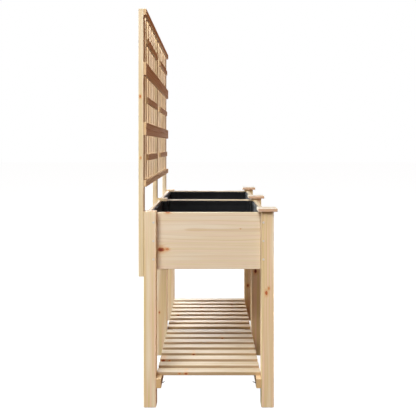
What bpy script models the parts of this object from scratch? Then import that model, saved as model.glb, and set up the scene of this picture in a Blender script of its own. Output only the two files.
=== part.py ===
"""Potting bench: two lined planter boxes on six legs, a slatted shelf below and a trellis behind.

Planed softwood throughout, screwed together, with nothing that moves.
+X runs along the bench, -Y faces the gardener, +Y is the trellis side and +Z is up.
The origin is on the ground, under the middle of the bench.
"""

import bmesh
import bpy
from mathutils import Vector

# Driving dimensions, in metres.
LENGTH = 1.080              # over the outer faces of the end legs
DEPTH = 0.500               # front of the leg caps to the back of the trellis posts
CLEARANCE = 0.0003          # between pieces that touch

LEG = 0.045                 # square section
LEG_HEIGHT = 0.7065
CAP = 0.070                 # square, on the front legs only
CAP_THICKNESS = 0.0115

BOX_TOP = 0.700             # upper edge of the planter boards
BOX_BOTTOM = 0.4927
LONG_BOARD = 0.014          # thickness of the front and rear boards
REAR_BOARD_SETBACK = 0.005  # behind which the rear legs stand proud
FRONT_BOARD_SETBACK = 0.0205
END_BOARD = 0.015           # thickness of the end boards and of the middle one
END_BOARD_SETBACK = 0.030
FLOOR = 0.012
DRAIN_HOLE = 0.012          # diameter
DRAIN_ROWS = 2
DRAINS_IN_ROW = 3           # in each bay

LINER_SHEET = 0.0012
LINER_SLACK = 0.0005        # between the sheet and the boards behind it
LINER_TOP = 0.6955

SHELF_RAIL = (0.018, 0.034)  # thickness and height
SHELF_RAIL_BOTTOM = 0.070
SLAT_WIDTH = 0.038
SLAT_THICKNESS = 0.0125
SLAT_PITCH = 0.0645
SLATS_IN_BAY = 8
FIRST_SLAT = 0.031          # from the outer leg face to the first slat

POST = (0.045, 0.018)       # along the bench and front to back
POST_BOTTOM = 0.472
TRELLIS_TOP = 1.4375
LATH = (0.023, 0.010)       # width and thickness of every trellis lath
PAIR_TOPS = (1.2443, 1.0275)     # upper edges of the two double rails
LOWEST_RAIL_TOP = 0.8185
SHORT_LATH_LENGTH = 0.387
FIRST_UPRIGHT = 0.095       # from the outer leg face to its centre line
UPRIGHT_PITCH = 0.086
UPRIGHTS_IN_BAY = 5

EASE_LEG = 0.0020           # rounding of the long edges
EASE_BOARD = 0.0010
EASE_LATH = 0.0008

# Derived places.
END = LENGTH / 2
BACK = DEPTH / 2
SIDES = (("left", -1), ("right", 1))
STATIONS = (("left", LEG / 2 - END), ("middle", 0.0), ("right", END - LEG / 2))
POST_FRONT = BACK - POST[1]
REAR_LEG_BACK = POST_FRONT - CLEARANCE
REAR_LEG_FRONT = REAR_LEG_BACK - LEG
CAP_OVERHANG = (CAP - LEG) / 2
FRONT_LEG_FRONT = CAP_OVERHANG - DEPTH / 2
FRONT_LEG_BACK = FRONT_LEG_FRONT + LEG
REAR_BOARD_BACK = REAR_LEG_BACK - REAR_BOARD_SETBACK
REAR_BOARD_FRONT = REAR_BOARD_BACK - LONG_BOARD
FRONT_BOARD_FRONT = FRONT_LEG_FRONT + FRONT_BOARD_SETBACK
FRONT_BOARD_BACK = FRONT_BOARD_FRONT + LONG_BOARD
BAY_END = END - LEG                      # inner face of an end leg
BAY_MIDDLE = LEG / 2                     # face of a middle leg
LATH_BACK = POST_FRONT - CLEARANCE       # the rails lie on the front of the posts
LATH_FRONT = LATH_BACK - LATH[1]
FLOOR_TOP = BOX_BOTTOM + FLOOR


def clear_scene():
    for thing in list(bpy.data.objects):
        bpy.data.objects.remove(thing)


def finish(name, red, green, blue, roughness):
    material = bpy.data.materials.new(name)
    material.use_nodes = True
    surface = material.node_tree.nodes["Principled BSDF"]
    surface.inputs["Base Color"].default_value = (red, green, blue, 1)
    surface.inputs["Roughness"].default_value = roughness
    surface.inputs["Metallic"].default_value = 0.0
    material.diffuse_color = (red, green, blue, 1)
    return material


clear_scene()
PINE = finish("planed_fir", 0.70, 0.50, 0.30, 0.60)
FLEECE = finish("black_liner_sheet", 0.012, 0.012, 0.013, 0.75)
BENCH = bpy.data.objects.new("bench", None)
bpy.context.scene.collection.objects.link(BENCH)


def place(name, shape, at, material):
    """Makes an object of a bmesh, at a point on the bench."""
    mesh = bpy.data.meshes.new(name)
    bmesh.ops.recalc_face_normals(shape, faces=shape.faces)
    shape.to_mesh(mesh)
    shape.free()
    mesh.materials.append(material)
    piece = bpy.data.objects.new(name, mesh)
    bpy.context.scene.collection.objects.link(piece)
    piece.parent = BENCH
    piece.location = at
    return piece


def ease_edges(piece, width):
    bevel = piece.modifiers.new("eased_edges", "BEVEL")
    bevel.width = width
    bevel.segments = 1
    bevel.limit_method = "ANGLE"


def timber(name, low, high, ease):
    """A straight piece of planed wood between two opposite corners."""
    low, high = Vector(low), Vector(high)
    shape = bmesh.new()
    bmesh.ops.create_cube(shape, size=1.0)
    bmesh.ops.scale(shape, vec=high - low, verts=shape.verts)
    piece = place(name, shape, (low + high) / 2, PINE)
    ease_edges(piece, ease)
    return piece


def ring(shape, outline, height):
    return [shape.verts.new((x, y, height)) for x, y in outline]


def join_rings(shape, first, second):
    for here, (a, b) in enumerate(zip(first, second)):
        after = (here + 1) % len(first)
        shape.faces.new((a, first[after], second[after], b))


def inset(outline, by):
    """A right-angled outline, anticlockwise, moved inwards by a distance."""
    moved = []
    for here, corner in enumerate(outline):
        before = Vector(outline[here - 1])
        after = Vector(outline[(here + 1) % len(outline)])
        corner = Vector(corner)
        arriving = (corner - before).normalized()
        leaving = (after - corner).normalized()
        inward = Vector((-arriving.y - leaving.y, arriving.x + leaving.x))
        moved.append(corner + inward * by)
    return moved


def build_legs():
    for side, x in STATIONS:
        for row, front, back in (
            ("rear", REAR_LEG_FRONT, REAR_LEG_BACK),
            ("front", FRONT_LEG_FRONT, FRONT_LEG_BACK),
        ):
            low = (x - LEG / 2, front, 0)
            high = (x + LEG / 2, back, LEG_HEIGHT)
            timber(f"leg_{row}_{side}", low, high, EASE_LEG)


def build_caps():
    y = (FRONT_LEG_FRONT + FRONT_LEG_BACK) / 2
    bottom = LEG_HEIGHT + CLEARANCE
    for side, x in STATIONS:
        low = (x - CAP / 2, y - CAP / 2, bottom)
        high = (x + CAP / 2, y + CAP / 2, bottom + CAP_THICKNESS)
        timber(f"leg_cap_{side}", low, high, EASE_BOARD)


def build_planter_boards():
    """Long boards between the legs of each bay, an end board at each end and one in the middle."""
    inner = BAY_MIDDLE + CLEARANCE
    outer = BAY_END - CLEARANCE
    for side, sign in SIDES:
        near, far = sorted((sign * inner, sign * outer))
        for row, front, back in (
            ("rear", REAR_BOARD_FRONT, REAR_BOARD_BACK),
            ("front", FRONT_BOARD_FRONT, FRONT_BOARD_BACK),
        ):
            timber(f"{row}_board_{side}", (near, front, BOX_BOTTOM), (far, back, BOX_TOP), EASE_BOARD)
    front = FRONT_LEG_BACK + CLEARANCE
    back = REAR_LEG_FRONT - CLEARANCE
    for side, sign in SIDES:
        near, far = sorted((sign * (END - END_BOARD_SETBACK), sign * (END - END_BOARD_SETBACK - END_BOARD)))
        timber(f"end_board_{side}", (near, front, BOX_BOTTOM), (far, back, BOX_TOP), EASE_BOARD)
    bottom = FLOOR_TOP + CLEARANCE
    low = (-END_BOARD / 2, front, bottom)
    high = (END_BOARD / 2, back, BOX_TOP)
    timber("middle_board", low, high, EASE_BOARD)


def floor_outline():
    """The rectangle between the long boards, notched round the two middle legs."""
    end = BAY_END - CLEARANCE
    leg = BAY_MIDDLE + CLEARANCE
    front = FRONT_BOARD_BACK + CLEARANCE
    back = REAR_BOARD_FRONT - CLEARANCE
    front_leg = FRONT_LEG_BACK + CLEARANCE
    back_leg = REAR_LEG_FRONT - CLEARANCE
    return [
        (-end, front), (-leg, front), (-leg, front_leg), (leg, front_leg), (leg, front), (end, front),
        (end, back), (leg, back), (leg, back_leg), (-leg, back_leg), (-leg, back), (-end, back),
    ]


def drain_cutter():
    """A grid of rods, three in a row and two rows in each bay."""
    shape = bmesh.new()
    step = BAY_END / (DRAINS_IN_ROW + 1)
    width = REAR_BOARD_FRONT - FRONT_BOARD_BACK
    for sign in (-1, 1):
        for column in range(1, DRAINS_IN_ROW + 1):
            for row in range(1, DRAIN_ROWS + 1):
                rod = bmesh.ops.create_cone(
                    shape, cap_ends=True, segments=12, depth=3 * FLOOR,
                    radius1=DRAIN_HOLE / 2, radius2=DRAIN_HOLE / 2,
                )
                across = FRONT_BOARD_BACK + width * row / (DRAIN_ROWS + 1)
                where = Vector((sign * column * step, across, 0))
                bmesh.ops.translate(shape, vec=where, verts=rod["verts"])
    cutter = place("drain_cutter", shape, (0, 0, BOX_BOTTOM), PINE)
    cutter.hide_render = True
    cutter.display_type = "WIRE"
    return cutter


def build_floor():
    """One board that closes the bottom of both boxes, under the middle board, with drain holes."""
    shape = bmesh.new()
    lower = ring(shape, floor_outline(), 0)
    upper = ring(shape, floor_outline(), FLOOR)
    join_rings(shape, lower, upper)
    shape.faces.new(lower[::-1])
    shape.faces.new(upper)
    floor = place("planter_floor", shape, (0, 0, BOX_BOTTOM), PINE)
    cut = floor.modifiers.new("drain_holes", "BOOLEAN")
    cut.operation = "DIFFERENCE"
    cut.object = drain_cutter()


def liner_outline(sign):
    """One bay between its boards, notched round the two middle legs, anticlockwise."""
    end = BAY_END - LINER_SLACK
    middle = END_BOARD / 2 + LINER_SLACK
    leg = BAY_MIDDLE + LINER_SLACK
    front = FRONT_BOARD_BACK + LINER_SLACK
    back = REAR_BOARD_FRONT - LINER_SLACK
    front_leg = FRONT_LEG_BACK + LINER_SLACK
    back_leg = REAR_LEG_FRONT - LINER_SLACK
    right_bay = [
        (leg, front), (end, front), (end, back), (leg, back),
        (leg, back_leg), (middle, back_leg), (middle, front_leg), (leg, front_leg),
    ]
    if sign > 0:
        return right_bay
    return [(-x, y) for x, y in reversed(right_bay)]


def build_liners():
    """An open bag of sheet in each box, with its bottom on the floor board."""
    bottom = FLOOR_TOP + LINER_SLACK
    height = LINER_TOP - bottom
    for side, sign in SIDES:
        outside = liner_outline(sign)
        inside = inset(outside, LINER_SHEET)
        shape = bmesh.new()
        rings = [
            ring(shape, outside, 0),
            ring(shape, outside, height),
            ring(shape, inside, height),
            ring(shape, inside, LINER_SHEET),
        ]
        for first, second in zip(rings, rings[1:]):
            join_rings(shape, first, second)
        shape.faces.new(rings[0][::-1])
        shape.faces.new(rings[-1])
        place(f"liner_{side}", shape, (0, 0, bottom), FLEECE)


def build_shelf():
    """Two rails on the inner faces of the legs, and slats laid across them."""
    thickness, height = SHELF_RAIL
    bottom = SHELF_RAIL_BOTTOM
    back = REAR_LEG_FRONT - CLEARANCE
    front = FRONT_LEG_BACK + CLEARANCE
    timber("shelf_rail_rear", (-END, back - thickness, bottom), (END, back, bottom + height), EASE_BOARD)
    timber("shelf_rail_front", (-END, front, bottom), (END, front + thickness, bottom + height), EASE_BOARD)
    under = bottom + height + CLEARANCE
    for side, sign in SIDES:
        for number in range(SLATS_IN_BAY):
            outer = END - FIRST_SLAT - number * SLAT_PITCH
            near, far = sorted((sign * outer, sign * (outer - SLAT_WIDTH)))
            low = (near, front + CLEARANCE, under)
            high = (far, back - CLEARANCE, under + SLAT_THICKNESS)
            timber(f"shelf_slat_{side}_{number + 1}", low, high, EASE_BOARD)


def build_trellis_posts():
    width = POST[0]
    for side, x in STATIONS:
        low = (x - width / 2, POST_FRONT, POST_BOTTOM)
        high = (x + width / 2, BACK, TRELLIS_TOP)
        timber(f"trellis_post_{side}", low, high, EASE_BOARD)


def double_rail(name, top):
    """Two laths edge to edge, with a groove where their eased edges meet."""
    width, thickness = LATH
    groove = EASE_LATH
    profile = [
        (0, 0), (thickness, 0), (thickness, width - groove), (thickness - groove, width),
        (thickness, width + groove), (thickness, 2 * width), (0, 2 * width),
        (0, width + groove), (groove, width), (0, width - groove),
    ]
    shape = bmesh.new()
    ends = [[shape.verts.new((x, y, z)) for y, z in profile] for x in (-END, END)]
    join_rings(shape, ends[0], ends[1])
    shape.faces.new(ends[0])
    shape.faces.new(ends[1][::-1])
    return place(name, shape, (0, LATH_FRONT, top - 2 * width), PINE)


def build_trellis_rails():
    """Full-length rails on the front of the posts: single at top and bottom, double between."""
    width = LATH[0]
    for name, top in (("top", TRELLIS_TOP), ("bottom", LOWEST_RAIL_TOP)):
        timber(f"trellis_rail_{name}", (-END, LATH_FRONT, top - width), (END, LATH_BACK, top), EASE_LATH)
    for name, top in zip(("upper", "lower"), PAIR_TOPS):
        double_rail(f"trellis_double_rail_{name}", top)


def build_short_laths():
    """One across each bay, halfway between two rails."""
    width = LATH[0]
    spans = (
        ("top", TRELLIS_TOP - width, PAIR_TOPS[0]),
        ("middle", PAIR_TOPS[0] - 2 * width, PAIR_TOPS[1]),
        ("bottom", PAIR_TOPS[1] - 2 * width, LOWEST_RAIL_TOP),
    )
    centre = (UPRIGHTS_IN_BAY - 1) / 2 * UPRIGHT_PITCH + FIRST_UPRIGHT - END
    for side, sign in SIDES:
        x = -sign * centre
        for level, upper, lower in spans:
            z = (upper + lower) / 2
            low = (x - SHORT_LATH_LENGTH / 2, LATH_FRONT, z - width / 2)
            high = (x + SHORT_LATH_LENGTH / 2, LATH_BACK, z + width / 2)
            timber(f"short_lath_{level}_{side}", low, high, EASE_LATH)


def build_uprights():
    """Laths between the posts, behind the rails, from the bottom rail to the top one."""
    width, thickness = LATH
    for side, sign in SIDES:
        for number in range(UPRIGHTS_IN_BAY):
            x = sign * (END - FIRST_UPRIGHT - number * UPRIGHT_PITCH)
            low = (x - width / 2, POST_FRONT, LOWEST_RAIL_TOP - width)
            high = (x + width / 2, POST_FRONT + thickness, TRELLIS_TOP)
            timber(f"upright_lath_{side}_{number + 1}", low, high, EASE_LATH)


build_legs()
build_caps()
build_planter_boards()
build_floor()
build_liners()
build_shelf()
build_trellis_posts()
build_trellis_rails()
build_short_laths()
build_uprights()
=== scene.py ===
import math
import random
from functools import partial

import bmesh
import bpy
from mathutils import Matrix, Vector, noise


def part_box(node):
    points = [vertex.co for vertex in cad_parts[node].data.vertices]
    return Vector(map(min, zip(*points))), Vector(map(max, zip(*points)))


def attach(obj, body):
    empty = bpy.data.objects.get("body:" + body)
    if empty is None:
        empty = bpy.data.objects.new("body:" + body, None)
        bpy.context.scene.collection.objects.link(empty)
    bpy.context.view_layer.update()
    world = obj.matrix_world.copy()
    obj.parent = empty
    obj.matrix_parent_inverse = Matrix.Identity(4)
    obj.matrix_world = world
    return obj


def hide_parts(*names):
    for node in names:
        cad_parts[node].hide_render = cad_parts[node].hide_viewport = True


# A potting bench in planed fir: two lined boxes on six legs, a slatted shelf and a trellis.
# Metres, unless a name says mm. +X runs away along the bench, +Y is the trellis side, +Z is up.
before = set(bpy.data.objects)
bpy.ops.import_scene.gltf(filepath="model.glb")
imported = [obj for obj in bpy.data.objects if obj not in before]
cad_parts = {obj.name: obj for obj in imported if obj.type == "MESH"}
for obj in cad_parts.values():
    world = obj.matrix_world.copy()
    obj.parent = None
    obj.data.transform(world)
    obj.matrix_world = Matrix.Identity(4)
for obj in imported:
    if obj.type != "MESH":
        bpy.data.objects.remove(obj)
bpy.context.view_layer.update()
scene = bpy.context.scene
collection = scene.collection


# The view: a level camera at the left end, a little above the boxes, looking along the bench.
# The bench sits low in its view, so the lens is shifted and the uprights stay upright.
nearest_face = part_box("leg_front_left")[0].x
step_back = 2.08
off_middle = -0.0097
eye_height = 0.944
lens = bpy.data.cameras.new("end_view")
lens.lens = 50
lens.sensor_width = 36
lens.shift_x = -0.00625
lens.shift_y = -0.15
camera = bpy.data.objects.new("end_view", lens)
camera.location = (nearest_face - step_back, off_middle, eye_height)
camera.rotation_euler = (math.radians(90), 0, math.radians(-90))
collection.objects.link(camera)
scene.camera = camera
scene.view_settings.view_transform = "Standard"


# The studio floor: a matt white sweep of painted board, 60 m wide so that its edges are never
# seen, and bright enough that only a faint shadow is left on it.
def linear(hex_colour):
    """An sRGB hex colour such as "DBBF9B" as the linear colour that a shader takes."""
    parts = [int(hex_colour[i : i + 2], 16) / 255 for i in (0, 2, 4)]
    return tuple(c / 12.92 if c <= 0.04045 else ((c + 0.055) / 1.055) ** 2.4 for c in parts) + (1,)


def node(tree, kind, feeds=(), **settings):
    """Adds a node. feeds are values, sockets or nodes for its inputs, in order or by name.

    A node given as a feed stands for the first output that it has in use.
    """
    made = tree.nodes.new("ShaderNode" + kind)
    for name, value in settings.items():
        setattr(made, name, value)
    in_use = [socket for socket in made.inputs if socket.enabled]
    for key, value in feeds.items() if isinstance(feeds, dict) else enumerate(feeds):
        socket = made.inputs[key] if isinstance(key, str) else in_use[key]
        if isinstance(value, bpy.types.Node):
            value = next(output for output in value.outputs if output.enabled)
        if isinstance(value, bpy.types.NodeSocket):
            tree.links.new(value, socket)
        else:
            socket.default_value = value
    return made


def made_object(name, shape, material=None):
    """Turns a drawn shape into an object that stands in the studio."""
    mesh = bpy.data.meshes.new(name)
    shape.to_mesh(mesh)
    shape.free()
    if material:
        mesh.materials.append(material)
    made = bpy.data.objects.new(name, mesh)
    collection.objects.link(made)
    return made


floor_material = bpy.data.materials.new("matt_white_floor")
floor_material.use_nodes = True
tree = floor_material.node_tree
tree.nodes.clear()
paint = node(tree, "BsdfDiffuse", {"Color": (0.12, 0.12, 0.12, 1)})
glow = node(tree, "Emission", {"Color": (1, 1, 1, 1), "Strength": 0.98})
node(tree, "OutputMaterial", {"Surface": node(tree, "AddShader", (paint, glow))})
sweep = bmesh.new()
bmesh.ops.create_grid(sweep, x_segments=1, y_segments=1, size=30)
floor = made_object("studio_floor", sweep, floor_material)
floor.visible_diffuse = False
floor.visible_glossy = False


# The studio's air: white where the camera looks past the floor. What lights the wood is dim, and
# on the gardener's side it is warm, as from a timber wall across the room.
world = bpy.data.worlds.new("white_studio")
world.use_nodes = True
scene.world = world
tree = world.node_tree
tree.nodes.clear()
sky = node(tree, "TexCoord").outputs["Generated"]
toward = node(tree, "VectorMath", (sky, (0, -1, 0)), operation="DOT_PRODUCT")
warmth = node(
    tree, "MapRange", (toward, 0.0, 1.0, 0.02, 0.38), interpolation_type="SMOOTHSTEP"
)
dim = node(tree, "Background", {"Color": linear("FFB484"), "Strength": warmth})
white = node(tree, "Background", {"Color": (1, 1, 1, 1), "Strength": 1.0})
seen = node(tree, "LightPath").outputs["Is Camera Ray"]
node(tree, "OutputWorld", {"Surface": node(tree, "MixShader", (seen, dim, white))})


# The lamps: soft boxes behind the camera, overhead, at the far end and on the window side, all
# aimed at the boxes. A long, low strip with a grid over it lights the front boards and legs
# from straight ahead, and leaves the trellis behind them alone.
def hang_lamp(name, where, aim, watts, size, colour="FFFFFF"):
    light = bpy.data.lights.new(name, "AREA")
    light.shape = "RECTANGLE"
    light.size, light.size_y = size
    light.energy = watts
    light.color = linear(colour)[:3]
    lamp = bpy.data.objects.new(name, light)
    lamp.location = where
    lamp.rotation_euler = aim.to_track_quat("-Z", "Y").to_euler()
    lamp.visible_camera = False
    collection.objects.link(lamp)
    return light


middle_of_bench = Vector((0, 0, 0.6))
daylight = "F2F8FF"
for name, where, wide, watts, colour in (
    ("high_behind_camera", (-6.1, 2.0, 6.6), 5.0, 1010, daylight),
    ("overhead_at_near_end", (-3.7, 0.65, 8.6), 4.4, 140, daylight),
    ("low_behind_camera", (-4.6, 1.9, 0.85), 1.0, 21, "FFFFFF"),
    ("low_far_end", (2.0, 0.30, 0.92), 0.9, 21, "FFFFFF"),
    ("window_side", (0.4, 3.0, 1.15), 1.6, 96, "FFFFFF"),
):
    hang_lamp(name, where, middle_of_bench - Vector(where), watts, (wide, wide), colour)
strip = hang_lamp("low_strip_in_front", (0, -2.4, 0.30), Vector((0, 1, 0)), 2.2, (1.5, 0.5))
strip.spread = math.radians(22)


# Legs: six 45 mm square posts of planed fir, sawn from the outer part of the log.
# Each has the growth rings, knots and slow changes of tone of its own stick, running upright.
def planed_fir(piece, grain, knots=(), heart=None, ring_mm=3.2, tones=("DEC4A6", "D7C295", "E0CCAC"),
               late="C49F6C", contrast=0.42, ends="CDA674", edges=None, smooth=True):
    """Planed, untreated fir: pale early wood, narrow darker late wood, silky and nearly matt.

    grain is the axis that the stick runs along, and heart the middle of its log, in millimetres
    from the middle of the stick, across the grain. The eye gets straight lines on one face,
    arches on the next and rings on the ends, because all are cuts through the same log.
    tones are its rosy, honey and pale streaks, late is its late wood, and ends its sawn ends.
    edges are (axis that they face, tone): painted shade, a darker tone on the long sides facing it.
    knots are (centre, radius in mm, axis that the branch runs along, colour of its middle).
    smooth is False for laths and posts, whose saw marks leave them quite matt.
    """
    draw = random.Random(piece.name)
    middle = sum((Vector(corner) for corner in piece.bound_box), Vector()) / 8
    across = [axis for axis in "XYZ" if axis != grain]
    if heart is None:
        angle = draw.uniform(0, 2 * math.pi)
        away = draw.uniform(40, 85)
        heart = (away * math.cos(angle), away * math.sin(angle))
    seed = [draw.uniform(-500, 500) for _ in range(3)]
    material = bpy.data.materials.new(f"planed_fir_{piece.name}")
    material.use_nodes = True
    add = partial(node, material.node_tree)

    place = add("TexCoord")
    mm = add("VectorMath", (place.outputs["Object"], (1000, 1000, 1000)), operation="MULTIPLY")
    sides = add("SeparateXYZ", (mm,))
    stick = add("CombineXYZ", [sides.outputs[axis] for axis in (*across, grain)])

    # What varies in the wood: (name, how wide it is across the grain and how long along it, in
    # mm, how fine). The fibres are drawn about 1.5 mm wide, as real ones are too fine to show.
    varies = {}
    for name, wide, long, detail in (
        ("bow", 90, 420, 1.0), ("streak", 7, 700, 2.0), ("patch", 26, 340, 1.0), ("fibre", 1.5, 90, 3.0),
    ):
        at = add("VectorMath", (stick, (1 / wide, 1 / wide, 1 / long), seed), operation="MULTIPLY_ADD")
        varies[name] = add("TexNoise", {"Vector": at, "Scale": 1.0, "Detail": detail})
    bow, streak, patch, fibre = varies.values()

    # The log wanders up to 9 mm each way along its length, so the rings aren't dead straight.
    wander_mm = 9
    bow_way = bow.outputs["Color"]
    reach = (2 * wander_mm, 2 * wander_mm, 0)
    bowed = add("VectorMath", (bow_way, reach, stick), operation="MULTIPLY_ADD")
    log = [1000 * middle["XYZ".index(axis)] + h + wander_mm for axis, h in zip(across, heart)]
    from_heart = add("VectorMath", (bowed, (*log, 0)), operation="SUBTRACT")
    flat = add("VectorMath", (from_heart, (1, 1, 0)), operation="MULTIPLY")
    radius = add("VectorMath", (flat,), operation="LENGTH")

    # A knot pushes the rings round itself, by up to 1.3 of its radius, and is longer along the
    # grain than across it. Distances from it are in knot radii, and its edge is ragged.
    knot_push = 1.3
    knot_slimness = 0.6
    ragged_at = add("VectorMath", (mm, (1 / 6, 1 / 6, 1 / 6)), operation="MULTIPLY")
    ragged = add("TexNoise", {"Vector": ragged_at, "Scale": 1.0, "Detail": 2.0})
    distances = []
    for where, radius_mm, along, _ in knots:
        reach = [1 / radius_mm] * 3
        reach["XYZ".index(grain)] = knot_slimness / radius_mm
        reach["XYZ".index(along)] = 0.0
        shift = [-1000 * p * r for p, r in zip(where, reach)]
        near = add("VectorMath", (mm, reach, shift), operation="MULTIPLY_ADD")
        plain = add("VectorMath", (near,), operation="LENGTH")
        uneven_edge = add("Math", (ragged, 0.5, -0.25), operation="MULTIPLY_ADD")
        distance = add("Math", (plain, uneven_edge), operation="ADD")
        distances.append(distance)
        squared = add("Math", (distance, distance), operation="MULTIPLY")
        push = add("Math", (0.74, squared), operation="POWER")
        radius = add("Math", (push, -knot_push * radius_mm, radius), operation="MULTIPLY_ADD")

    # Growth rings: each starts pale, darkens towards its edge and stops sharply. Years differ in
    # width, over about three rings, and in how dark their late wood is.
    turns = add("Math", (radius, 1 / ring_mm), operation="MULTIPLY")
    years_at = add("Math", (turns, 0.31, seed[0]), operation="MULTIPLY_ADD")
    years = add("TexNoise", {"W": years_at, "Scale": 1.0}, noise_dimensions="1D")
    turns = add("Math", (years, 2.4, turns), operation="MULTIPLY_ADD")
    ring = add("ValToRGB", (add("Math", (turns,), operation="FRACT"),))
    first_and_last = ((0.0, 0.25), (1.0, 0.35))
    between = ((0.12, 0.0), (0.45, 0.08), (0.74, 0.55), (0.88, 1.0), (0.95, 0.9))
    for i, (position, shade) in enumerate(first_and_last + between):
        stops = ring.color_ramp.elements
        stop = stops[i] if i < len(first_and_last) else stops.new(position)
        stop.color = (shade, shade, shade, 1)
    year = add("TexWhiteNoise", (add("Math", (turns,), operation="FLOOR"),), noise_dimensions="1D")
    year_weight = add("Math", (year, 0.75, 0.25), operation="MULTIPLY_ADD")
    late_wood = add("Math", (ring, year_weight), operation="MULTIPLY")

    # Broad streaks of rosy, honey and pale wood.
    rosy, honey, pale = (linear(tone) for tone in tones)
    share = add("MapRange", (streak, 0.36, 0.64, 0.0, 1.0), interpolation_type="SMOOTHSTEP")
    ground = add("Mix", (share, rosy, honey), data_type="RGBA")
    share = add("MapRange", (patch, 0.45, 0.70, 0.0, 1.0), interpolation_type="SMOOTHSTEP")
    ground = add("Mix", (share, ground, pale), data_type="RGBA")
    dark_share = add("Math", (late_wood, contrast), operation="MULTIPLY")
    wood = add("Mix", (dark_share, ground, linear(late)), data_type="RGBA")
    fleck = add("Math", (fibre, 0.16, 0.92), operation="MULTIPLY_ADD")
    wood = add("VectorMath", {"Vector": wood.outputs[2], "Scale": fleck}, operation="SCALE")

    # Sawn ends drink light, so they are browner than the planed faces. The long sides that face the
    # edges axis are painted darker too: painted shade.
    sawn_ends_and_painted_shade = [(grain, ends, (0.7, 0.95), 0.65)]
    if edges:
        sawn_ends_and_painted_shade.append((*edges, (0.6, 0.9), 0.7))
    for axis, tone, (from_turn, to_turn), most in sawn_ends_and_painted_shade:
        facing = add("SeparateXYZ", (place.outputs["Normal"],)).outputs[axis]
        straight_on = add("Math", (facing,), operation="ABSOLUTE")
        turned = (straight_on, from_turn, to_turn, 0.0, most)
        sawn = add("MapRange", turned, interpolation_type="SMOOTHSTEP")
        wood = add("Mix", (sawn, wood, linear(tone)), data_type="RGBA")

    # Knots: resin stains the wood round them orange, and the branch itself is red-brown.
    resin_stain = linear("CF9558")
    branch_rim = linear("BD6A38")
    for (_, _, _, core), distance in zip(knots, distances):
        stain = add("MapRange", (distance, 0.9, 2.8, 0.55, 0.0), interpolation_type="SMOOTHSTEP")
        wood = add("Mix", (stain, wood, resin_stain), data_type="RGBA")
        rim = add("MapRange", (distance, 0.15, 0.95, 0.0, 0.6), interpolation_type="SMOOTHSTEP")
        branch = add("Mix", (rim, linear(core), branch_rim), data_type="RGBA")
        inside = add("MapRange", (distance, 0.75, 1.2, 1.0, 0.0), interpolation_type="SMOOTHSTEP")
        wood = add("Mix", (inside, wood, branch), data_type="RGBA")

    shader = material.node_tree.nodes["Principled BSDF"]
    link = material.node_tree.links.new
    link(next(output for output in wood.outputs if output.enabled), shader.inputs["Base Color"])
    planed_roughness, sawn_roughness = 0.40, 0.72
    lowest = planed_roughness if smooth else sawn_roughness
    silky = add("Math", (fibre, 0.16, lowest), operation="MULTIPLY_ADD")
    link(silky.outputs[0], shader.inputs["Roughness"])
    shader.inputs["IOR"].default_value = 1.5 if smooth else 1.2
    relief = add("Math", (late_wood, 0.6, fibre), operation="MULTIPLY_ADD")
    bump = add("Bump", {"Height": relief, "Distance": 0.00025, "Strength": 0.35})
    link(bump.outputs[0], shader.inputs["Normal"])
    piece.data.materials.clear()
    piece.data.materials.append(material)


def ease(piece, width):
    """Rounds the planed edges a little more finely than the frame has them."""
    bevel = piece.modifiers.new("eased_edges", "BEVEL")
    bevel.width = width
    bevel.segments = 2
    bevel.limit_method = "ANGLE"
    bevel.angle_limit = math.radians(25)


leg_knots = {
    "leg_front_left": (
        ((-0.54, -0.2105, 0.4135), 4.6, "X", "B25A2C"),
        ((-0.54, -0.2195, 0.4300), 3.0, "X", "CC8C50"),
    ),
    "leg_front_middle": (
        ((-0.0225, -0.2116, 0.380), 6.0, "X", "5E2414"),
        ((-0.0225, -0.2090, 0.472), 7.5, "X", "5E2414"),
    ),
    "leg_front_right": (((0.495, -0.211, 0.190), 5.0, "X", "6B2C18"),),
    "leg_rear_middle": (((-0.0225, 0.2205, 0.194), 2.6, "X", "A33A1C"),),
}
for row in ("front", "rear"):
    for side in ("left", "middle", "right"):
        name = f"leg_{row}_{side}"
        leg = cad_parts[name]
        knots = leg_knots.get(name, ())
        planed_fir(leg, "Z", knots, contrast=0.60, tones=("E6C3A2", "D8C088", "E8D4B4"))
        ease(leg, 0.0006)


# Leg caps: 70 mm squares of fir that shed the rain from the sawn tops of the front legs.
# Their grain runs along the bench, so the two sides that face its ends are sawn, and orange.
for side in ("left", "middle", "right"):
    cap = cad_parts[f"leg_cap_{side}"]
    planed_fir(cap, "X", tones=("F1E4CE", "EEE0C4", "F4EAD8"), late="D6B48A", ends="AA6414")
    ease(cap, 0.0004)


# Planter boards: 14 and 15 mm fir, screwed between the legs, with the grain running level.
# The left end board is the face of the bench, with one large knot low at the back.
end_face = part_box("end_board_left")[0].x
end_board_knots = (
    ((end_face, 0.1710, 0.5640), 7.6, "X", "7E2A12"),
    ((end_face, 0.1490, 0.5655), 3.8, "X", "C07C48"),
    ((end_face, -0.119, 0.6395), 1.4, "X", "B08A58"),
    ((end_face, 0.147, 0.7010), 4.6, "X", "C07038"),
)
for name in ("end_board_left", "end_board_right", "middle_board"):
    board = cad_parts[name]
    knots = end_board_knots if name == "end_board_left" else ()
    board_tones = ("DEC5AA", "DBC6A0", "DFCDB2")
    planed_fir(board, "Y", knots, heart=(60, 40), ring_mm=4.6, contrast=0.46, tones=board_tones)
    ease(board, 0.0004)
for row in ("front", "rear"):
    for side in ("left", "right"):
        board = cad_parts[f"{row}_board_{side}"]
        planed_fir(board, "X", heart=(70, 20), ring_mm=4.5)
        ease(board, 0.0004)
planed_fir(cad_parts["planter_floor"], "X", heart=(90, 120), ring_mm=5)
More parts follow.
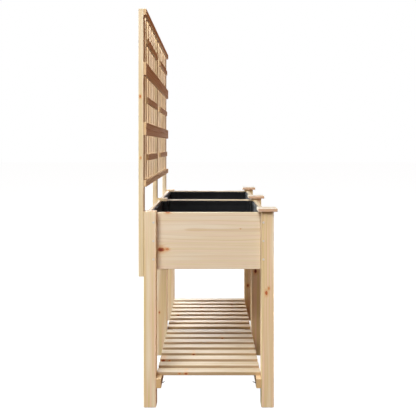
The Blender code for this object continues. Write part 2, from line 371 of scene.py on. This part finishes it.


# Shelf: two fir rails screwed to the inner faces of the legs, and sixteen slats nailed across
# them. The slats are narrow offcuts, so several show a knot cut through on their long edge. The
# near bay's slats are painted greyer and darker: painted shade against the light that falls on
# them. The rails' sides and the slats' near and far faces are painted darker too: painted shade.
slat_knots = {
    "shelf_slat_left_1": ((0.080, 3.4, "8A4422"), (0.104, 2.4, "A86A3C")),
    "shelf_slat_left_3": ((0.174, 4.6, "6E2E16"), (0.150, 2.2, "96502C")),
    "shelf_slat_left_4": ((0.058, 3.2, "7A3820"),),
    "shelf_slat_left_7": ((-0.060, 2.8, "84442A"),),
    "shelf_slat_right_2": ((-0.120, 3.0, "6E2E16"),),
    "shelf_slat_right_3": ((0.038, 3.6, "7A3820"),),
    "shelf_slat_right_5": ((0.150, 3.0, "84442A"),),
}
for row in ("front", "rear"):
    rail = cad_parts[f"shelf_rail_{row}"]
    rail_tones = ("DEC09B", "D8B988", "DDC298")
    # Its sides that face across the bench are painted darker: painted shade.
    planed_fir(rail, "X", tones=rail_tones, ends="C59A5E", edges=("Y", "A9835A"))
    ease(rail, 0.0004)
# The near (left) bay's tones are darker: painted shade against the light on the near slats.
slat_tones_with_painted_shade = {"left": ("C6B69B", "BFAD88", "CCBEA5"), "right": ("DEC8A8", "D7C295", "E2D0B2")}
for side in ("left", "right"):
    for number in range(1, 9):
        name = f"shelf_slat_{side}_{number}"
        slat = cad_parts[name]
        low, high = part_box(name)
        knots = [
            ((low.x, y, (low.z + high.z) / 2), radius_mm, "X", core)
            for y, radius_mm, core in slat_knots.get(name, ())
        ]
        # Near and far faces painted darker: painted shade between the slats.
        planed_fir(
            slat, "Y", knots, tones=slat_tones_with_painted_shade[side], late="A87A48", contrast=0.6, edges=("X", "A88458")
        )
        ease(slat, 0.0004)


# Trellis posts: three flat posts on the backs of the rear legs, with their grain upright.
post_knots = {
    "trellis_post_left": (
        ((-0.54, 0.2437, 1.121), 3.0, "X", "B5622F"),
        ((-0.54, 0.2420, 0.900), 2.2, "X", "CF9558"),
    ),
}
for side in ("left", "middle", "right"):
    name = f"trellis_post_{side}"
    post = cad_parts[name]
    knots = post_knots.get(name, ())
    planed_fir(post, "Z", knots, tones=("E0C8A6", "DAC496", "E2CFAE"), smooth=False)
    ease(post, 0.0004)


# Trellis laths: 23 x 10 mm fir, uprights behind and level laths in front, pinned where they cross.
# Two of the level ones are pairs, one lath on the other, with a fine joint between the two.
level_fir = {"tones": ("E4C69E", "DFC092", "E7CDA8"), "late": "A9733F", "contrast": 0.85}
# Uprights painted paler than the level laths: painted light against the shade each casts on the next.
upright_fir_painted_paler = {"tones": ("EDD2AF", "E8CDA2", "F0D9B8"), "late": "B98850", "contrast": 0.5}
for name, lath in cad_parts.items():
    if name.startswith(("trellis_rail", "short_lath")):
        planed_fir(lath, "X", **level_fir, smooth=False)
        ease(lath, 0.0004)
    if name.startswith("upright_lath"):
        planed_fir(lath, "Z", **upright_fir_painted_paler, smooth=False)
        ease(lath, 0.0004)
joint_between_laths = 0.0004
for level in ("upper", "lower"):
    pair = f"trellis_double_rail_{level}"
    low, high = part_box(pair)
    half = (high.z - low.z) / 2
    for number, bottom in enumerate((low.z, low.z + half), 1):
        shape = bmesh.new()
        bmesh.ops.create_cube(shape, size=1)
        size = (high.x - low.x, high.y - low.y, half - joint_between_laths)
        middle = Vector(((low.x + high.x) / 2, (low.y + high.y) / 2, bottom + half / 2))
        stretch = Matrix.Translation(middle) @ Matrix.Diagonal((*size, 1))
        bmesh.ops.transform(shape, matrix=stretch, verts=shape.verts)
        bmesh.ops.bevel(
            shape, geom=shape.edges[:], offset=0.0008, segments=3, profile=0.5, affect="EDGES"
        )
        lath = made_object(f"{pair}_lath_{number}", shape)
        planed_fir(lath, "X", **level_fir, smooth=False)
        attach(lath, "root")
        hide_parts(pair)


# Liners: a bag of black non-woven polypropylene in each box, sewn up at its corners, its top edge
# turned in and stitched. It stands against the boards, with pleats and creases from its packing.
liner_material = bpy.data.materials.new("black_nonwoven_polypropylene")
liner_material.use_nodes = True
add = partial(node, liner_material.node_tree)
liner_shader = liner_material.node_tree.nodes["Principled BSDF"]
place = add("TexCoord").outputs["Object"]
# Bonded in dots about 2 mm apart, which gives a faint grey grain. Nearly black and matt.
dots = add("TexVoronoi", {"Vector": place, "Scale": 500.0, "Randomness": 0.35})
cloudy = add("TexNoise", {"Vector": place, "Scale": 30.0, "Detail": 4.0})
tone = add("MapRange", (cloudy, 0.3, 0.7, 0.0, 1.0))
black = add("Mix", (tone, linear("0A0A0B"), linear("131314")), data_type="RGBA")
liner_material.node_tree.links.new(black.outputs[2], liner_shader.inputs["Base Color"])
bonded = add("Bump", {"Height": dots, "Distance": 0.0002, "Strength": 0.5})
liner_material.node_tree.links.new(bonded.outputs[0], liner_shader.inputs["Normal"])
liner_shader.inputs["Roughness"].default_value = 0.72
liner_shader.inputs["IOR"].default_value = 1.35
liner_shader.inputs["Sheen Weight"].default_value = 0.22
liner_shader.inputs["Sheen Roughness"].default_value = 0.35

sheet_thickness = 0.0009
hem_depth = 0.016
spacing = 0.005


def bag_outline(corners, round_by=0.009):
    """The corners joined by straight runs, each turn softened, as evenly spaced points.

    Round a leg the sheet bulges into the bag, because it can't cut across the wood.
    """
    path = []
    steps_round = 6
    for i, corner in enumerate(corners):
        before = (corners[i - 1] - corner).normalized()
        after = (corners[(i + 1) % len(corners)] - corner).normalized()
        start, end = corner + before * round_by, corner + after * round_by
        inward_turn = before.x * after.y - before.y * after.x > 0
        pull = corner * 2 - (start + end) / 2 if inward_turn else corner
        for step in range(steps_round + 1):
            t = step / steps_round
            path.append(start * (1 - t) ** 2 + pull * 2 * t * (1 - t) + end * t**2)
    points = []
    for a, b in zip(path, path[1:] + path[:1]):
        count = max(1, round((b - a).length / spacing))
        points += [a.lerp(b, step / count) for step in range(count)]
    return points


def sew_liner(name, corners, bottom, top):
    """The bag as one sheet: floor, walls and the turned-in hem."""
    outline = bag_outline(corners)
    count = len(outline)
    middle = Vector((sum(c.x for c in corners) / 8, sum(c.y for c in corners) / 8))
    inward = []
    for i, point in enumerate(outline):
        run = (outline[(i + 1) % count] - outline[i - 1]).normalized()
        inward.append(Vector((-run.y, run.x)))
    outer = [c for c in corners if abs(c.y) > 0.2]
    drift = Vector((7.3, 2.1, 0)) if corners[0].x > 0 else Vector((1.7, 8.4, 0))

    # Pleats beside each outer corner: (how far from it, how wide, share of the full depth).
    pleats_at = ((0.024, 0.005, 1.0), (0.043, 0.004, 0.7))
    pleat_depth = 0.0035
    # Level folds where the bag was packed flat, as shares of its height.
    folds_at = (0.27, 0.52, 0.77)
    fold_depth = 0.0007
    wave_depth = 0.0016
    crease_depth = 0.0009

    def slack(point, height):
        """How far the wall stands in from the boards."""
        share = (height - bottom) / (top - bottom)
        spot = Vector((point.x, point.y, height))
        waves = noise.noise(Vector((spot.x * 11, spot.y * 11, height * 5)) + drift)
        crease = 1 - min(1, abs(noise.noise(spot * 16 + drift * 2)) * 7)
        from_corner = min((point - c).length for c in outer)
        pleats = 0.0
        for away, wide, deep in pleats_at:
            pleats += deep * math.exp(-(((from_corner - away) / wide) ** 2))
        folds = sum(math.exp(-(((share - f) / 0.012) ** 2)) for f in folds_at)
        stand_off = wave_depth * max(0.0, waves + 0.25) + crease_depth * crease
        return stand_off + pleat_depth * pleats * (0.4 + 0.6 * share) + fold_depth * folds

    # The floor, in rings from the middle outwards: it lies slack, and is pulled flat at its edge.
    shape = bmesh.new()
    rings = []
    floor_rings = 25
    smallest = 0.02
    corner_radius = 0.008
    for step in range(floor_rings + 1):
        t = smallest + (1 - smallest) * (step / floor_rings) ** 0.8
        slackness = 1 - t**6
        ring = []
        for point, inside in zip(outline, inward):
            spot = middle + (point + inside * corner_radius - middle) * t
            waves = noise.noise(Vector((spot.x * 14, spot.y * 14, 3.0)) + drift)
            crease = 1 - min(1, abs(noise.noise(Vector((spot.x * 9, spot.y * 9, 8.0)) + drift)) * 8)
            lift = (0.0014 * max(0.0, waves + 0.2) + 0.001 * crease) * slackness
            ring.append(shape.verts.new((spot.x, spot.y, bottom + lift)))
        rings.append(ring)

    # The wall from its foot up, as (how far in from the boards, how far up). At the top the
    # edge turns in and down again for the hem, whose stitches pull it in just above its end.
    height = top - bottom
    foot = ((0.0042, 0.0008), (0.0016, 0.0030), (0.0002, 0.0080))
    foot_height = 0.010
    plain_height = height - hem_depth - foot_height
    steps = round(plain_height / 0.006)
    profile = [*foot]
    profile += [(0.0, foot_height + plain_height / steps * step) for step in range(steps + 1)]
    for inset, below_top in (
        (0.0, 0.012), (0.0, 0.006), (0.0, 0.0016), (0.0007, 0.0003), (0.0017, 0.0003), (0.0024, 0.0016),
        (0.0025, 0.006), (0.0025, 0.0115), (0.0019, 0.0125), (0.0025, 0.0135), (0.0026, hem_depth),
    ):
        profile.append((inset, height - below_top))
    for inset, up in profile:
        ring = []
        for point, inside in zip(outline, inward):
            away = inset + slack(point, bottom + up) * min(1, up / 0.02)
            spot = point + inside * away
            ring.append(shape.verts.new((spot.x, spot.y, bottom + up)))
        rings.append(ring)
    for lower, upper in zip(rings, rings[1:]):
        for i in range(count):
            j = (i + 1) % count
            shape.faces.new((lower[i], lower[j], upper[j], upper[i]))
    shape.faces.new(rings[0][::-1])
    for face in shape.faces:
        face.smooth = True
    bag = made_object(name, shape, liner_material)
    thick = bag.modifiers.new("sheet_thickness", "SOLIDIFY")
    thick.thickness = sheet_thickness
    thick.offset = -1
    return bag


room_round_legs = 0.0006
above_floor = 0.0002
leg_low, leg_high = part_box("leg_rear_middle")
front_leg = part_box("leg_front_middle")[1].y + room_round_legs
rear_leg = leg_low.y - room_round_legs
for side, sign in (("left", -1), ("right", 1)):
    low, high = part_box(f"liner_{side}")
    beside_leg = sign * (leg_high.x + room_round_legs)
    end = high.x if sign > 0 else low.x
    near_middle = low.x if sign > 0 else high.x
    corners = [
        Vector((beside_leg, low.y)), Vector((end, low.y)),
        Vector((end, high.y)), Vector((beside_leg, high.y)),
        Vector((beside_leg, rear_leg)), Vector((near_middle, rear_leg)),
        Vector((near_middle, front_leg)), Vector((beside_leg, front_leg)),
    ]
    if sign < 0:
        corners.reverse()
    bag = sew_liner(f"sewn_liner_{side}", corners, low.z + above_floor, high.z)
    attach(bag, "root")
    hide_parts(f"liner_{side}")


# Screws: zinc-plated steel with countersunk cross heads. Three go into each end leg from the
# end, and one through each leg and shelf rail, driven upwards so that its tip comes out.
# Zinc is a cool grey, a little cloudy, with a soft shine. The long screws' zinc is a painted dark
# reflection.
zinc_tones = {"bright_zinc": ("C9CBD2", "E6E6EA"), "rubbed_zinc": ("4C4D50", "6C6D70")}
steels = {}
for finish, (dark, light) in zinc_tones.items():
    steel = steels[finish] = bpy.data.materials.new(f"{finish}_plated_steel")
    steel.use_nodes = True
    add = partial(node, steel.node_tree)
    steel_shader = steel.node_tree.nodes["Principled BSDF"]
    place = add("TexCoord").outputs["Object"]
    cloudy = add("TexNoise", {"Vector": place, "Scale": 900.0, "Detail": 3.0})
    zinc = add("Mix", (cloudy, linear(dark), linear(light)), data_type="RGBA")
    steel.node_tree.links.new(zinc.outputs[2], steel_shader.inputs["Base Color"])
    satin = add("Math", (cloudy, 0.2, 0.42), operation="MULTIPLY_ADD")
    steel.node_tree.links.new(satin.outputs[0], steel_shader.inputs["Roughness"])
    steel_shader.inputs["Metallic"].default_value = 1.0


def turn(shape, rings, place):
    """Joins rings of points, from the outside end to the inside end, into one closed piece."""
    made = [[shape.verts.new(place @ Vector(point)) for point in ring] for ring in rings]
    for first, second in zip(made, made[1:]):
        for i in range(len(first)):
            j = (i + 1) % len(first)
            shape.faces.new((first[i], first[j], second[j], second[i]))
    shape.faces.new(made[0][::-1])
    shape.faces.new(made[-1])


def circle(radius, depth, count=32):
    angles = [2 * math.pi * i / count for i in range(count)]
    return [(radius * math.cos(a), radius * math.sin(a), depth) for a in angles]


def cross(reach, half_width, depth, count=32):
    """The outline of a cross recess, on the same angles as a circle."""
    points = []
    nearly_zero = 1e-6
    for x, y, _ in circle(1.0, 0, count):
        long_side, short_side = max(abs(x), abs(y)), min(abs(x), abs(y))
        arm = max(half_width / max(short_side, nearly_zero), half_width / long_side)
        out = min(reach / long_side, arm)
        points.append((x * out, y * out, depth))
    return points


def drive_screw(shape, head, into, length, head_radius=0.0036, shaft=0.0016):
    """A screw with its head at a point of a face, going into the wood, with its thread and tip."""
    place = Matrix.Translation(head) @ Vector(into).to_track_quat("Z", "Y").to_matrix().to_4x4()
    head_depth = head_radius * 0.8
    pitch = 0.0019
    root = shaft * 0.72
    point_length = 0.0045
    recess = [
        cross(0.0006, 0.0002, 0.0012), cross(0.0019, 0.0005, 0.0009), cross(0.0024, 0.0006, -0.0004),
    ]
    rim = [circle(head_radius * 0.78, -0.00045), circle(head_radius, -0.0001), circle(head_radius, 0.0002)]
    rings = recess + rim + [circle(shaft * 1.1, head_depth)]
    depth = head_depth
    while depth < length - point_length - 0.0015:
        rings += [circle(root, depth + pitch * 0.35), circle(shaft, depth + pitch * 0.7)]
        rings += [circle(shaft, depth + pitch * 0.8)]
        depth += pitch
    rings += [circle(shaft * 0.70, length - point_length), circle(shaft * 0.08, length)]
    turn(shape, rings, place)


def steel_piece(name, shape, finish="bright_zinc"):
    bmesh.ops.recalc_face_normals(shape, faces=shape.faces[:])
    piece = made_object(name, shape, steels[finish])
    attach(piece, "root")


screw_heights = (0.667, 0.600, 0.534)
screw_length = 0.040
for side, sign in (("left", -1), ("right", 1)):
    for row, from_edge in (("rear", 0.0098), ("front", -0.0076)):
        low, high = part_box(f"leg_{row}_{side}")
        face = low.x if sign < 0 else high.x
        inner_edge = low.y if row == "rear" else high.y
        for number, height in enumerate(screw_heights, 1):
            shape = bmesh.new()
            head = (face, inner_edge + from_edge, height)
            drive_screw(shape, head, (-sign, 0, 0), screw_length)
            steel_piece(f"end_screw_{row}_{side}_{number}", shape)

# Each long screw leans up at 20 degrees, and leaves the rail 81 mm above the ground.
lean = math.radians(20)
comes_out_at = 0.081
tip_beyond_rail = 0.0145
for row, sign in (("rear", 1), ("front", -1)):
    rail_low, rail_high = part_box(f"shelf_rail_{row}")
    rail_face = rail_low.y if sign > 0 else rail_high.y
    for side in ("left", "middle", "right"):
        low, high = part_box(f"leg_{row}_{side}")
        leg_face = high.y if sign > 0 else low.y
        through = abs(leg_face - rail_face)
        head = ((low.x + high.x) / 2, leg_face, comes_out_at - through * math.tan(lean))
        into = (0, -sign * math.cos(lean), math.sin(lean))
        shape = bmesh.new()
        drive_screw(shape, head, into, through / math.cos(lean) + tip_beyond_rail)
        # Their darker zinc is a painted dark reflection on the tips.
        steel_piece(f"shelf_rail_screw_{row}_{side}", shape, "rubbed_zinc")


# Brads: thin bright steel pins with 2.4 mm heads, driven flush. One holds each crossing of two
# laths, two hold a level lath to a post, and one holds each end of a slat to its rail.
def drive_brad(shape, head, into):
    place = Matrix.Translation(head) @ Vector(into).to_track_quat("Z", "Y").to_matrix().to_4x4()
    rings = [circle(0.0004, -0.0002, 12), circle(0.0010, -0.00015, 12), circle(0.0012, 0.0, 12)]
    rings += [circle(0.0012, 0.0003, 12), circle(0.0005, 0.0005, 12), circle(0.0004, 0.008, 12)]
    turn(shape, rings, place)


trellis_brads = bmesh.new()
uprights = [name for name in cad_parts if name.startswith("upright_lath")]
level_laths = [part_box(f"trellis_rail_{level}") for level in ("top", "bottom")]
for level in ("upper", "lower"):
    low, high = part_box(f"trellis_double_rail_{level}")
    joint = (low.z + high.z) / 2
    level_laths.append((low, Vector((high.x, high.y, joint))))
    level_laths.append((Vector((low.x, low.y, joint)), high))
level_laths += [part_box(name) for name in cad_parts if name.startswith("short_lath")]
for low, high in level_laths:
    height = (low.z + high.z) / 2
    for name in uprights:
        upright_low, upright_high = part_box(name)
        x = (upright_low.x + upright_high.x) / 2
        if low.x < x < high.x:
            drive_brad(trellis_brads, (x, low.y, height), (0, 1, 0))
    for side in ("left", "middle", "right"):
        post_low, post_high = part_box(f"trellis_post_{side}")
        for share in (0.3, 0.7):
            x = post_low.x + share * (post_high.x - post_low.x)
            if low.x < x < high.x:
                head = (x, low.y, height + 0.004 * (share - 0.5))
                drive_brad(trellis_brads, head, (0, 1, 0))
steel_piece("trellis_brads", trellis_brads)

slat_brads = bmesh.new()
from_end = 0.009
for side in ("left", "right"):
    for number in range(1, 9):
        low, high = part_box(f"shelf_slat_{side}_{number}")
        x = (low.x + high.x) / 2
        for y in (low.y + from_end, high.y - from_end):
            drive_brad(slat_brads, (x, y, high.z), (0, 0, -1))
steel_piece("slat_brads", slat_brads)
